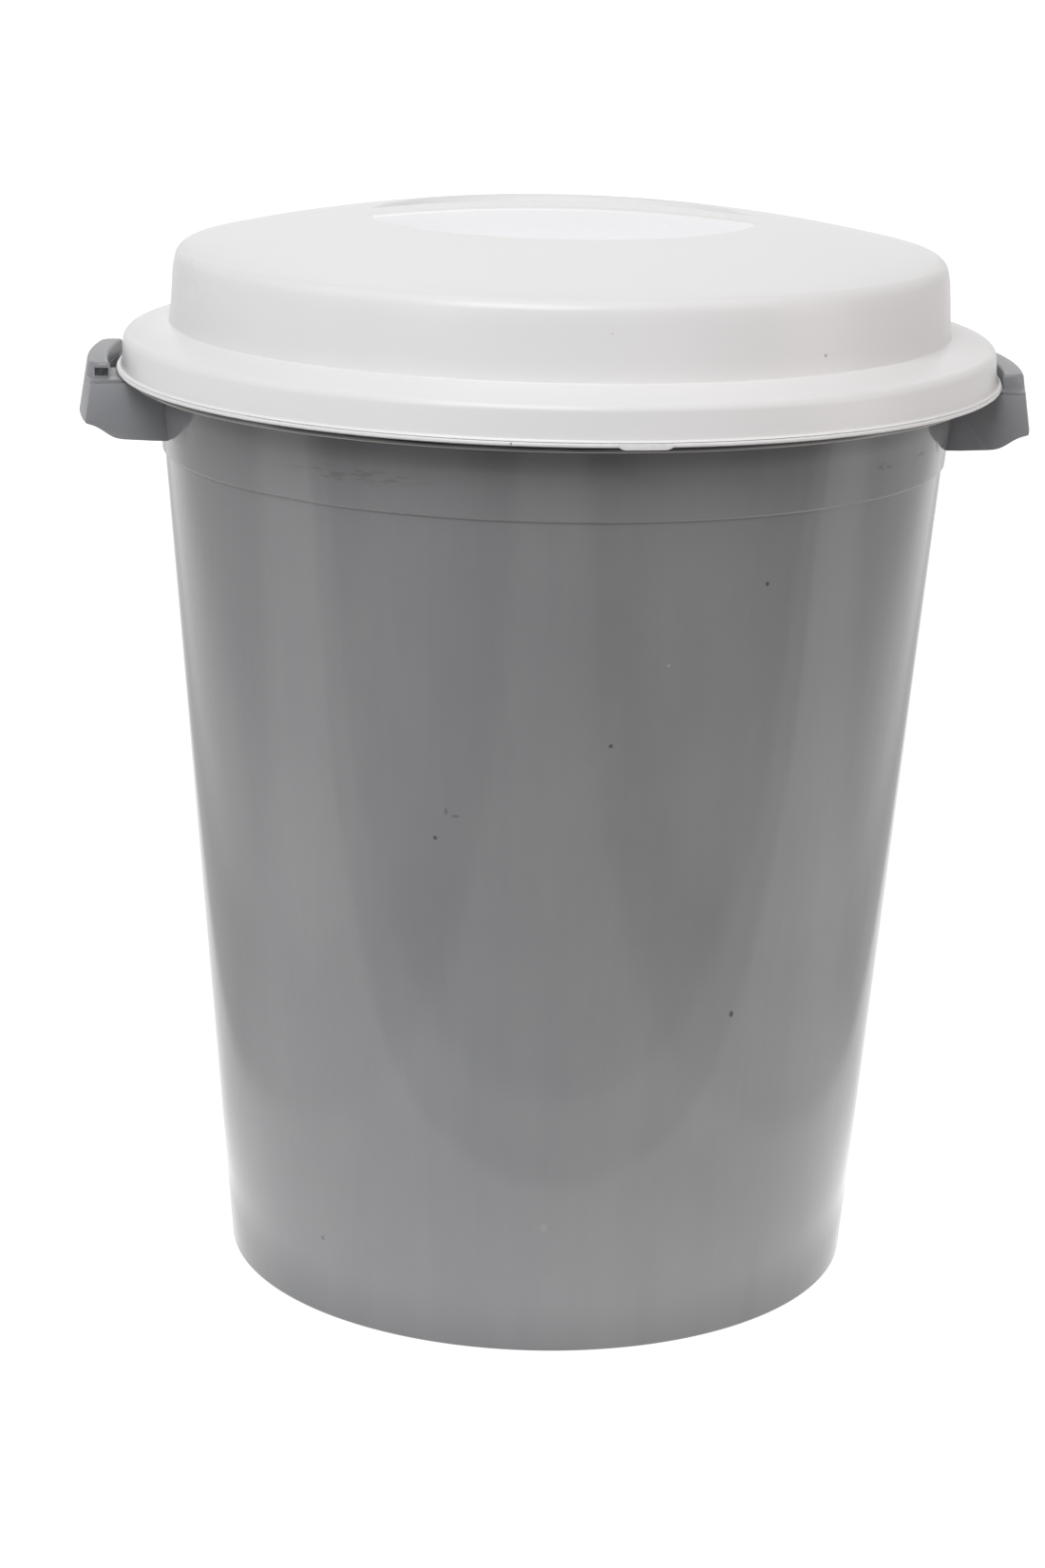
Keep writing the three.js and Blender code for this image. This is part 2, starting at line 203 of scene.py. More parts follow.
def rounded(corners, steps=6):
    """A polyline of corners (r, z, fillet radius) with each corner replaced by an arc that touches both its sides.

    For a corner with unit vectors a and b to its neighbours, the arc starts and ends at fillet / tan(half the angle
    between them) along each, and its points swing about the centre that lies on the bisector.
    """
    out = []
    for i, (r, z, fillet) in enumerate(corners):
        here = np.array([r, z], float)
        if fillet <= 0 or i in (0, len(corners) - 1):
            out.append(here[None])
            continue
        a = np.array(corners[i - 1][:2], float) - here
        b = np.array(corners[i + 1][:2], float) - here
        length_a, length_b = np.linalg.norm(a), np.linalg.norm(b)
        a, b = a / length_a, b / length_b
        half = math.acos(np.clip(a @ b, -1, 1)) / 2
        reach = min(fillet / math.tan(half), length_a * 0.49, length_b * 0.49)
        radius = reach * math.tan(half)
        bisector = (a + b) / np.linalg.norm(a + b)
        centre = here + bisector * radius / math.sin(half)
        start, end = here + a * reach - centre, here + b * reach - centre
        swing = math.atan2(start[0] * end[1] - start[1] * end[0], start @ end)
        t = np.linspace(0, swing, steps + 1)
        along = start[0] * np.cos(t) - start[1] * np.sin(t)
        up = start[0] * np.sin(t) + start[1] * np.cos(t)
        out.append(centre + np.stack([along, up], -1))
    return np.concatenate(out)


def new_piece(name, points, faces):
    """A mesh object from points in millimetres and faces as lists of indices, shaded smooth."""
    data = bpy.data.meshes.new(name)
    data.from_pydata((np.asarray(points) * MM).tolist(), [], faces)
    data.update()
    data.polygons.foreach_set("use_smooth", np.ones(len(data.polygons), bool))
    piece = bpy.data.objects.new(name, data)
    bpy.context.scene.collection.objects.link(piece)
    return piece


def shaded(piece, sharp_from):
    """Shades a piece smooth, apart from edges that bend by more than sharp_from degrees."""
    piece.data.polygons.foreach_set("use_smooth", np.ones(len(piece.data.polygons), bool))
    piece.data.set_sharp_from_angle(angle=math.radians(sharp_from))
    return piece


def quads(rows, columns, wrap, start=0):
    """Faces of a grid: with rows along Y and columns along X they face up, with rings running up a wall, outwards."""
    i = np.arange(rows - 1)[:, None] * columns
    j = np.arange(columns if wrap else columns - 1)[None]
    k = (j + 1) % columns
    return np.stack([i + j, i + k, i + columns + k, i + columns + j], -1).reshape(-1, 4) + start


def turned(name, profile):
    """A closed solid of revolution: every profile point (r, z) becomes a ring of points (r cos t, r sin t, z).

    The profile starts and ends on the axis, where a ring shrinks to one point.
    """
    t = np.linspace(0, 2 * np.pi, ROUND, endpoint=False)
    ring = profile[1:-1]
    rings = np.stack([ring[:, :1] * np.cos(t), ring[:, :1] * np.sin(t), np.repeat(ring[:, 1:], ROUND, 1)], -1)
    points = rings.reshape(-1, 3)
    poles = np.array([[0, 0, profile[0, 1]], [0, 0, profile[-1, 1]]])
    first, last = len(points), len(points) + 1
    j = np.arange(ROUND)
    k = (j + 1) % ROUND
    end = (len(ring) - 1) * ROUND
    faces = (
        quads(len(ring), ROUND, True).tolist()
        + np.stack([np.full(ROUND, first), k, j], -1).tolist()
        + np.stack([np.full(ROUND, last), end + j, end + k], -1).tolist()
    )
    return new_piece(name, np.concatenate([points, poles]), faces)


def outwards(piece):
    """Turns the faces of a closed piece outwards: its signed volume, a sum of a . (b x c) / 6, has to be positive."""
    data = piece.data
    data.calc_loop_triangles()
    at = np.empty(len(data.vertices) * 3, np.float32)
    data.vertices.foreach_get("co", at)
    at = at.reshape(-1, 3).astype(float)
    tri = np.empty(len(data.loop_triangles) * 3, np.int32)
    data.loop_triangles.foreach_get("vertices", tri)
    a, b, c = (at[tri.reshape(-1, 3)[:, i]] for i in range(3))
    if np.einsum("ij,ij->i", a, np.cross(b, c)).sum() < 0:
        data.flip_normals()
    return piece


def lofted(name, rings):
    """A closed solid through rings of the same number of points, flat-capped at both ends."""
    count, columns = rings.shape[:2]
    faces = quads(count, columns, True).tolist()
    faces.append(np.arange(columns)[::-1].tolist())
    faces.append((np.arange(columns) + (count - 1) * columns).tolist())
    return outwards(new_piece(name, rings.reshape(-1, 3), faces))


def sector(name, profile, start, end, steps=28):
    """A solid of revolution between two angles: the profile (r, z), carried around the axis and capped."""
    t = np.radians(np.linspace(start, end, steps + 1))[:, None]
    profile = np.asarray(profile, float)
    r, z = profile[None, :, 0], profile[None, :, 1]
    return lofted(name, np.stack([r * np.cos(t), r * np.sin(t), np.repeat(z, len(t), 0)], -1))


def apply_modifiers(piece):
    """Puts the result of a piece's modifiers into its mesh."""
    bpy.context.view_layer.update()
    graph = bpy.context.evaluated_depsgraph_get()
    made = bpy.data.meshes.new_from_object(piece.evaluated_get(graph))
    piece.modifiers.clear()
    piece.data = made


def combine(piece, tool, how):
    """Joins a piece with, or cuts it by, a tool, which is used up."""
    change = piece.modifiers.new("join", "BOOLEAN")
    change.operation = how
    change.solver = "MANIFOLD"
    change.object = tool
    apply_modifiers(piece)
    bpy.data.meshes.remove(tool.data)


# ---- Body ----


def body_shell():
    """The body's wall: a profile (radius, height, fillet) turned about the axis.

    It runs from the underside over the foot ring, up the outside, over the rim's lip and down the inside.
    """
    rim_under = RIM_TOP - RIM_THICKNESS
    lip_inner = LIP_RADIUS - LIP_THICKNESS
    foot_inner = wall_radius(BOTTOM_EDGE) - BOTTOM_EDGE - FOOT_WIDTH
    floor_top = FOOT_HEIGHT + FLOOR
    profile = rounded(
        [
            (0, FOOT_HEIGHT, 0),
            (foot_inner - FOOT_DRAFT, FOOT_HEIGHT, 1.2),
            (foot_inner, 0, 0.8),
            (wall_radius(0), 0, BOTTOM_EDGE),
            (wall_radius(150), 150, 0),
            (wall_radius(300), 300, 0),
            (wall_radius(BAND_BOTTOM), BAND_BOTTOM, 0.9),
            (band_radius(BAND_BOTTOM), BAND_BOTTOM, 1.1),
            (band_radius(rim_under), rim_under, 1.5),
            (lip_inner, rim_under, 1.5),
            (lip_inner, LIP_BOTTOM, 0.5),
            (LIP_RADIUS, LIP_BOTTOM, 0.6),
            (LIP_RADIUS, RIM_TOP, 2.6),
            (inner_radius(RIM_TOP), RIM_TOP, 1.6),
            (inner_radius(300), 300, 0),
            (inner_radius(floor_top), floor_top, FLOOR_CORNER),
            (0, floor_top, 0),
        ]
    )
    return outwards(turned("body_wall", profile))


def pad_ring(inner, outer, start, end, corner, z):
    """Plan of a handle's raised middle: an inner arc, and an outer arc whose corners turn by quarter ellipses."""
    turn = math.degrees(corner / outer)
    a = np.linspace(0, np.pi / 2, 9)
    corner_r = outer - corner * (1 - np.sin(a))
    into = turn * (1 - np.cos(a))
    inner_t = np.linspace(start, end, PAD_STEPS + 1)
    outer_t = np.linspace(end - turn, start + turn, PAD_STEPS + 1)[1:-1]
    r = np.concatenate([np.full(PAD_STEPS + 1, inner), corner_r, np.full(PAD_STEPS - 1, outer), corner_r[::-1]])
    t = np.radians(np.concatenate([inner_t, end - into, outer_t, start + into[::-1]]))
    return np.stack([r * np.cos(t), r * np.sin(t), np.full(len(r), z)], -1)


def pad_block(name, inset, bottom, top, edge, start, end):
    """The raised middle as a loft of its plan, drawn in by its draught and by a round top edge."""

    def ring(extra, z):
        """Its plan at height z, drawn in by extra on every side."""
        inner, outer = PAD_INNER + inset + extra, handle_outer(z) - inset - extra
        corner = min(max(PAD_CORNER - inset, 2), 0.8 * (outer - inner))
        turn = math.degrees((inset + extra) / PAD_INNER)
        return pad_ring(inner, outer, start + turn, end - turn, corner, z)

    rings = [ring(0, bottom), ring(0, top - edge)]
    if edge:
        a = np.linspace(0, np.pi / 2, 6)[1:]
        rings += [ring(edge * (1 - math.cos(x)), top - edge * (1 - math.sin(x))) for x in a]
    return lofted(name, np.stack(rings))


def root_pad(name, side):
    """The thickened wall beside a web, as sections at one angle after the other.

    Its lower edge is level and rises along a quarter circle at the far end. Its outside starts just under the
    band's and rises by a small step, along a smooth step of the distance from the nearer edge.
    """
    low, top = WEB_ROOT_BOTTOM, WEB_TOP + 4
    corner = math.degrees(ROOT_PAD_CORNER / wall_radius(low))
    start = WEB_ANGLE - 0.4
    # The last three degrees have finer sections, and so has the lower half of each section.
    angle = np.concatenate([np.linspace(start, ROOT_PAD_ANGLE - 3, 24), ROOT_PAD_ANGLE - np.linspace(2.7, 0, 12)])
    into = np.clip((angle - (ROOT_PAD_ANGLE - corner)) / corner, 0, 1)
    edge = low + ROOT_PAD_CORNER * (1 - np.sqrt(1 - into**2))
    part = np.concatenate([np.linspace(0, ROOT_PAD_FADE, 12), np.linspace(10.5, ROOT_PAD_PARTS, 8)])
    rings = []
    for t, foot in zip(angle, edge):
        z = foot + (top - foot) * part / ROOT_PAD_PARTS
        inside = np.minimum(part, (ROOT_PAD_ANGLE - t) * MM_PER_DEGREE)
        rise = ROOT_PAD_STEP * smooth_step(np.clip(inside / ROOT_PAD_FADE, 0, 1))
        r = band_radius(z) - ROOT_PAD_SINK + rise
        r = np.concatenate([[band_radius(foot) - ROOT_PAD_DEPTH], r, [band_radius(top) - ROOT_PAD_DEPTH]])
        z = np.concatenate([[foot], z, [top]])
        rings.append(np.stack([r * np.cos(np.radians(t)), side * r * np.sin(np.radians(t)), z], -1))
    return lofted(name, np.stack(rings))


def handle_section():
    """Section of a handle's solid as (r, z): a web's S-shaped lower edge, the draughted outer wall and a level top.

    The lower edge is drawn through its points, and each point is then twice replaced by the mean of itself and its
    two neighbours.
    """
    share, height = np.array(WEB_EDGE).T
    fine = np.linspace(share[0], share[-1], WEB_EDGE_POINTS)
    curve = np.interp(fine, share, height)
    for _ in range(2):
        curve[1:-1] = (curve[:-2] + curve[1:-1] + curve[2:]) / 3
    rise = OUTER_WALL_BOTTOM - WEB_ROOT_BOTTOM
    span = HANDLE_RADIUS - wall_radius(WEB_ROOT_BOTTOM)
    low = np.stack([wall_radius(WEB_ROOT_BOTTOM) + span * fine, WEB_ROOT_BOTTOM + rise * curve], -1)
    corner_in, corner_up, corner_end = OUTER_WALL_CORNER
    bottom = OUTER_WALL_BOTTOM + corner_end
    return np.concatenate(
        [
            [[in_wall(WEB_ROOT_BOTTOM), WEB_ROOT_BOTTOM]],
            low,
            [[HANDLE_RADIUS - corner_in, OUTER_WALL_BOTTOM + corner_up], [handle_outer(bottom), bottom]],
            [[handle_outer(WEB_TOP), WEB_TOP], [in_wall(WEB_TOP), WEB_TOP]],
        ]
    )


def box_section(inner, outer, bottom, top):
    """An upright four-sided section as (r, z)."""
    return [[inner, bottom], [outer, bottom], [outer, top], [inner, top]]


def handle(name, slot_from, slot_to, window):
    """A handle along +X: two end webs and a draughted outer wall under a stepped top, hollow and open below."""
    web = math.degrees(HANDLE_WALL / HANDLE_RADIUS)
    plate_bottom = PLATE_TOP - HANDLE_WALL
    made = sector(name, handle_section(), -WEB_ANGLE, WEB_ANGLE)
    below = WEB_ROOT_BOTTOM - 10
    inside = [
        [band_radius(below) - INTO_BAND, below],
        [handle_outer(below) - HANDLE_WALL, below],
        [handle_outer(PAD_TOP) - HANDLE_WALL, PAD_TOP],
        [band_radius(PAD_TOP) - INTO_BAND, PAD_TOP],
    ]
    combine(made, sector("cut", inside, -WEB_ANGLE + web, WEB_ANGLE - web), "DIFFERENCE")
    chamfer_in, chamfer_down = PLATE_CHAMFER
    plate = [
        [LIP_RADIUS - INTO_LIP, plate_bottom],
        [handle_outer(plate_bottom) - 0.3, plate_bottom],
        [handle_outer(PLATE_TOP), PLATE_TOP - chamfer_down],
        [handle_outer(PLATE_TOP) - chamfer_in, PLATE_TOP],
        [LIP_RADIUS - INTO_LIP, PLATE_TOP],
    ]
    combine(made, sector("plate", plate, -PLATE_ANGLE, PLATE_ANGLE), "UNION")
    ends = (-PAD_FAR_ANGLE, PAD_ANGLE) if window else (-PAD_ANGLE, PAD_FAR_ANGLE)
    combine(made, pad_block("pad", 0, plate_bottom + 0.6, PAD_TOP, PAD_EDGE, *ends), "UNION")
    combine(made, pad_block("hollow", HANDLE_WALL, plate_bottom - 5, PAD_TOP - HANDLE_WALL, 0, *ends), "DIFFERENCE")
    slot = box_section(LIP_RADIUS + SLOT_CLEAR[0], PAD_INNER - SLOT_CLEAR[1], plate_bottom - 3, PLATE_TOP + 3)
    combine(made, sector("slot", slot, slot_from, slot_to), "DIFFERENCE")
    if window:
        opening = box_section(WINDOW[0], WINDOW[1], PLATE_TOP + WINDOW[2], PLATE_TOP + WINDOW[3])
        inside_end, past_end = WINDOW_REACH
        combine(made, sector("window", opening, PAD_ANGLE - inside_end, PAD_ANGLE + past_end, 4), "DIFFERENCE")
    rib_bottom, rim_under = WEB_TOP - RIB_HEIGHT, RIM_TOP - RIM_THICKNESS
    rib = [
        [in_wall(rib_bottom) + 1, rib_bottom],
        [LIP_RADIUS - INTO_LIP, rib_bottom],
        [LIP_RADIUS - INTO_LIP, rim_under + 1],
        [in_wall(rim_under) + 1, rim_under + 1],
    ]
    combine(made, sector("rib", rib, WEB_ANGLE - web, WEB_ANGLE, 2), "UNION")
    combine(made, sector("rib", rib, -WEB_ANGLE, -WEB_ANGLE + web, 2), "UNION")
    return made


def turn_half(piece):
    """Turns a piece by half a turn about the bucket's axis."""
    piece.data.transform(Matrix.Rotation(math.pi, 4, "Z"))
    return piece


def soft_edges(piece, width):
    """A small moulded radius on every sharp edge."""
    bevel = piece.modifiers.new("moulded_edges", "BEVEL")
    bevel.width = width * MM
    bevel.segments = 2
    bevel.limit_method = "ANGLE"
    bevel.angle_limit = math.radians(BEVEL_FROM)
    bevel.use_clamp_overlap = True
    bevel.harden_normals = False
    apply_modifiers(piece)
    return shaded(piece, SHARP_FROM)


# ---- Lid ----


def place_on_rim(points):
    """Turns the lid's points about its axis and pushes them to one side on the rim."""
    t = math.radians(LID_TURN)
    x, y, z = points[..., 0], points[..., 1], points[..., 2]
    return np.stack(
        [x * math.cos(t) - y * math.sin(t) + LID_SHIFT[0], x * math.sin(t) + y * math.cos(t) + LID_SHIFT[1], z], -1
    )


def smooth_max(a, b, k):
    """The larger of two heights, with a round inside corner of reach k where they cross."""
    return np.maximum(a, b) + np.maximum(k - np.abs(a - b), 0) ** 2 / (4 * k)


def edge_drop(r, y):
    """The recess's small round edge: a square of the distance to its circle, none where the bar meets the dome."""
    near = np.clip(1 - np.abs(r - RECESS_RADIUS) / RECESS_EDGE_REACH, 0, 1) ** 2
    beside = np.clip((np.abs(y) - BAR_FADE[0]) / BAR_FADE[1], 0, 1)
    return RECESS_EDGE * near * beside**2 * (3 - 2 * beside)


def bar_height(w, dome):
    """Height of the bar at the distance w from its middle line.

    The bar is flush with the dome, rounds over along a circle at its edge, falls along a steep wall and meets the
    pocket's floor in a quarter circle.
    """
    flat, wall_end = BAR_HALF - BAR_EDGE, BAR_HALF + BAR_LEAN
    turn = math.radians(BAR_EDGE_TURN)
    top_end = flat + BAR_EDGE * math.sin(turn)
    out = np.clip(w - flat, 0, BAR_EDGE * 0.9999)
    over = dome - (BAR_EDGE - np.sqrt(np.maximum(BAR_EDGE**2 - out**2, 0)))
    over_end = dome - BAR_EDGE * (1 - math.cos(turn))
    foot_top = POCKET_FLOOR + BAR_FOOT
    down = over_end + (foot_top - over_end) * np.clip((w - top_end) / (wall_end - top_end), 0, 1)
    across = np.clip((wall_end + BAR_FOOT - w) / BAR_FOOT, 0, 1)
    foot = POCKET_FLOOR + BAR_FOOT * (1 - np.sqrt(np.maximum(1 - across**2, 0)))
    return np.where(w <= top_end, over, np.where(w <= wall_end, down, foot))


def recess_height(x, y):
    """Height inside the recess: the higher of the bar and the scooped pocket, and nowhere over the dome.

    From its circle the pocket falls to a flat floor along the mean of a parabola and a smooth step.
    """
    r = np.hypot(x, y)
    dome = dome_height(r)
    depth = np.clip((RECESS_RADIUS - r) / POCKET_SLOPE, 0, 1)
    fall = 0.5 * depth * (2 - depth) + 0.5 * depth**2 * (3 - 2 * depth)
    scoop = POCKET_FLOOR + (dome_height(RECESS_RADIUS) - POCKET_FLOOR) * (1 - fall)
    z = np.minimum(smooth_max(bar_height(np.abs(y), dome), scoop, POCKET_BLEND), dome)
    return z - edge_drop(r, y)


def recess_rows():
    """The y of the recess's grid rows: close together on the bar's edge, wall and foot, then even on the circle."""
    wall_end = BAR_HALF + BAR_LEAN
    turn = np.radians(np.linspace(0, BAR_EDGE_TURN, 9))
    edge_end = BAR_HALF - BAR_EDGE * (1 - math.sin(math.radians(BAR_EDGE_TURN)))
    upper = np.concatenate(
        [
            np.linspace(0, BAR_HALF - BAR_EDGE, 6)[:-1],
            BAR_HALF - BAR_EDGE * (1 - np.sin(turn)),
            np.linspace(edge_end, wall_end, 7)[1:-1],
            wall_end + BAR_FOOT * (1 - np.cos(np.linspace(0, np.pi / 2, 9))),
        ]
    )
    around = np.linspace(math.asin(upper[-1] / RECESS_RADIUS), np.pi / 2, POCKET_ROWS)[1:-1]
    upper = np.concatenate([upper, RECESS_RADIUS * np.sin(around)])
    return np.concatenate([-upper[:0:-1], upper])


def lid_profile():
    """The lid's outside from just beyond the recess circle to the end of its bead, as (r, z)."""
    near_rings = RECESS_RADIUS + np.array(RECESS_EDGE_RINGS)
    dome_r = np.concatenate([near_rings, np.linspace(DOME_START, DOME_END, 16)])
    dome = np.stack([dome_r, dome_height(dome_r)], -1)
    shoulder = DOME_RADIUS + 4.1
    corners = [(DOME_END, dome_height(DOME_END), 0), (shoulder, dome_height(shoulder), 7.5), *LID_STEPS]
    return np.concatenate([dome, rounded(corners, steps=8)[1:]])


def lid_outside():
    """The lid's outside as one surface.

    Inside the recess circle of radius R the rows are lines of constant y and the columns are x = t sqrt(R^2 - y^2)
    with t from -1 to 1, so both the circle and the bar's edges lie on grid lines. Outside it, rings of the lid's
    profile carry on from the same points of the circle.
    """
    rows = recess_rows()
    s = np.linspace(-1, 1, CHORD_COLUMNS)
    t = 0.5 * s + 0.5 * np.sin(s * np.pi / 2)
    half = np.sqrt(RECESS_RADIUS**2 - rows**2)[:, None]
    x, y = half * t, np.repeat(rows[:, None], len(t), 1)
    inside = np.stack([x, y, recess_height(x, y)], -1)
    count, columns = inside.shape[:2]
    pole_z = dome_height(RECESS_RADIUS) - RECESS_EDGE
    poles = np.array([[0, -RECESS_RADIUS, pole_z], [0, RECESS_RADIUS, pole_z]])
    south, north = count * columns, count * columns + 1
    j = np.arange(columns - 1)
    last = (count - 1) * columns
    fans = [
        np.stack([np.full(columns - 1, south), j + 1, j], -1),
        np.stack([np.full(columns - 1, north), last + j, last + j + 1], -1),
    ]
    # The circle, anticlockwise from the south pole: right edge upwards, north pole, left edge downwards.
    k = np.arange(count)
    loop = np.concatenate([[south], k * columns + columns - 1, [north], k[::-1] * columns])
    rising = np.arcsin(rows / RECESS_RADIUS)
    angle = np.concatenate([[-np.pi / 2], rising, [np.pi / 2], np.pi - np.arcsin(rows[::-1] / RECESS_RADIUS)])
    profile = lid_profile()
    r, z = profile[:, :1], profile[:, 1:]
    ring_y = r * np.sin(angle)
    rings = np.stack([r * np.cos(angle), ring_y, z - edge_drop(r, ring_y)], -1)
    start = north + 1
    n = len(angle)
    m = (np.arange(n) + 1) % n
    joint = np.stack([loop, start + np.arange(n), start + m, loop[m]], -1)
    groups = [quads(count, columns, False), joint, quads(len(profile), n, True, start)[:, ::-1], *fans]
    points = np.concatenate([inside.reshape(-1, 3), poles, rings.reshape(-1, 3)])
    return points, [face for group in groups for face in group.tolist()]


def near_pocket(piece):
    """Which faces of the lid lie in the recess's near pocket: within its circle, below the dome, before the bar."""
    middle = np.empty(len(piece.data.polygons) * 3, np.float32)
    piece.data.polygons.foreach_get("center", middle)
    x, y, z = middle.reshape(-1, 3).T / MM
    r = np.hypot(x - LID_SHIFT[0], y - LID_SHIFT[1])
    near = y - LID_SHIFT[1] < math.tan(math.radians(LID_TURN)) * (x - LID_SHIFT[0])
    return (r < RECESS_RADIUS) & (z < dome_height(r) - POCKET_WHITE_DEPTH) & near


def lid():
    """The lid: its outside with a wall grown inwards. Its near pocket takes the second of the two whites, a brighter
    one that is painted light.
    """
    points, faces = lid_outside()
    piece = new_piece("lid_shell", place_on_rim(points), faces)
    wall = piece.modifiers.new("wall", "SOLIDIFY")
    wall.thickness = LID_THICKNESS * MM
    wall.offset = -1
    wall.use_rim = True
    wall.use_even_offset = False
    apply_modifiers(piece)
    shaded(piece, LID_SHARP_FROM)
    # The near pocket's faces take the brighter white, which is painted light.
    piece.data.polygons.foreach_set("material_index", near_pocket(piece).astype(np.int32))
    return piece


def tab():
    """The small pull tab: a short piece of ring that hangs from the bead. Both its ends rise by a quarter ellipse."""
    half = math.degrees(TAB_HALF / BEAD_RADIUS)
    profile = rounded(
        [
            (BEAD_RADIUS - 2.0, TAB_TOP, 0),
            (BEAD_RADIUS - 1.6, TAB_BOTTOM, 0.5),
            (BEAD_RADIUS + 0.4, TAB_BOTTOM, 0.6),
            (BEAD_RADIUS + 0.35, TAB_TOP, 0),
        ],
        steps=4,
    )
    ring = np.append(profile, [profile[-1] - [1, 0]], 0)
    t = np.radians(np.linspace(TAB_ANGLE - half, TAB_ANGLE + half, 31))
    end = np.clip((half - np.abs(np.degrees(t) - TAB_ANGLE)) / TAB_END, 0, 1)
    rise = (1 - np.sqrt(1 - (1 - end) ** 2))[:, None]
    r, z = ring[None, :, 0], ring[None, :, 1]
    z = z + np.maximum(TAB_END_TOP - z, 0) * rise
    points = np.stack([r * np.cos(t)[:, None], r * np.sin(t)[:, None], z], -1)
    return lofted("pull_tab", place_on_rim(points))


# ---- Materials ----

VIEW_TURN = -3.4  # degrees that the camera stands off the line square to the handles
GRAIN_SCALE = 1100.0
UPRIGHT = (1.0, 1.0, 0.09)  # stretches noise into upright streaks
FLAT = (1.0, 1.0, 5.0)  # squeezes noise into flat dabs
TONE_FROM, TONE_TO = 0.35, 0.65  # the part of the noise's range that goes from one tone to the other
MARK_CORE = 0.45  # share of its half axes within which a mark is full
BROKEN_FROM, BROKEN_TO = 0.47, 0.60
ALL_ROUND = 1e6  # half axis of a mark that is a band around the whole piece


def link(tree, a, b):
    """Joins an output to an input."""
    tree.links.new(a, b)


def node(tree, kind, **values):
    """A new node with its settings, or where it has no such setting, its inputs, set to values."""
    made = tree.nodes.new(kind)
    for key, value in values.items():
        if hasattr(made, key):
            setattr(made, key, value)
        else:
            made.inputs[key.replace("_", " ")].default_value = value
    return made


def moulded_surface():
    """A node group for injection-moulded plastic: slow waves of the wall, fine grain, and pale mottling as masks."""
    group = bpy.data.node_groups.new("moulded_surface", "ShaderNodeTree")
    face = group.interface
    for name, value in (("Wave Scale", 8.0), ("Grain Scale", 900.0), ("Grain Share", 0.02)):
        face.new_socket(name=name, in_out="INPUT", socket_type="NodeSocketFloat").default_value = value
    for name in ("Height", "Mottle", "Streaks"):
        face.new_socket(name=name, in_out="OUTPUT", socket_type="NodeSocketFloat")
    entry, leave = node(group, "NodeGroupInput"), node(group, "NodeGroupOutput")
    place = node(group, "ShaderNodeTexCoord")
    stretch = node(group, "ShaderNodeMapping")
    stretch.inputs["Scale"].default_value = UPRIGHT
    waves = node(group, "ShaderNodeTexNoise", Detail=2.0, Roughness=0.45)
    grain = node(group, "ShaderNodeTexNoise", Detail=3.0, Roughness=0.6)
    mottle = node(group, "ShaderNodeTexNoise", Scale=14.0, Detail=5.0, Roughness=0.6)
    streaks = node(group, "ShaderNodeTexNoise", Scale=55.0, Detail=4.0, Roughness=0.7)
    link(group, place.outputs["Object"], stretch.inputs["Vector"])
    for noise in (waves, streaks):
        link(group, stretch.outputs["Vector"], noise.inputs["Vector"])
    for noise in (grain, mottle):
        link(group, place.outputs["Object"], noise.inputs["Vector"])
    link(group, entry.outputs["Wave Scale"], waves.inputs["Scale"])
    link(group, entry.outputs["Grain Scale"], grain.inputs["Scale"])
    fine = node(group, "ShaderNodeMath", operation="MULTIPLY")
    link(group, grain.outputs["Fac"], fine.inputs[0])
    link(group, entry.outputs["Grain Share"], fine.inputs[1])
    total = node(group, "ShaderNodeMath", operation="ADD")
    link(group, waves.outputs["Fac"], total.inputs[0])
    link(group, fine.outputs[0], total.inputs[1])
    link(group, total.outputs[0], leave.inputs["Height"])
    link(group, mottle.outputs["Fac"], leave.inputs["Mottle"])
    link(group, streaks.outputs["Fac"], leave.inputs["Streaks"])
    return group


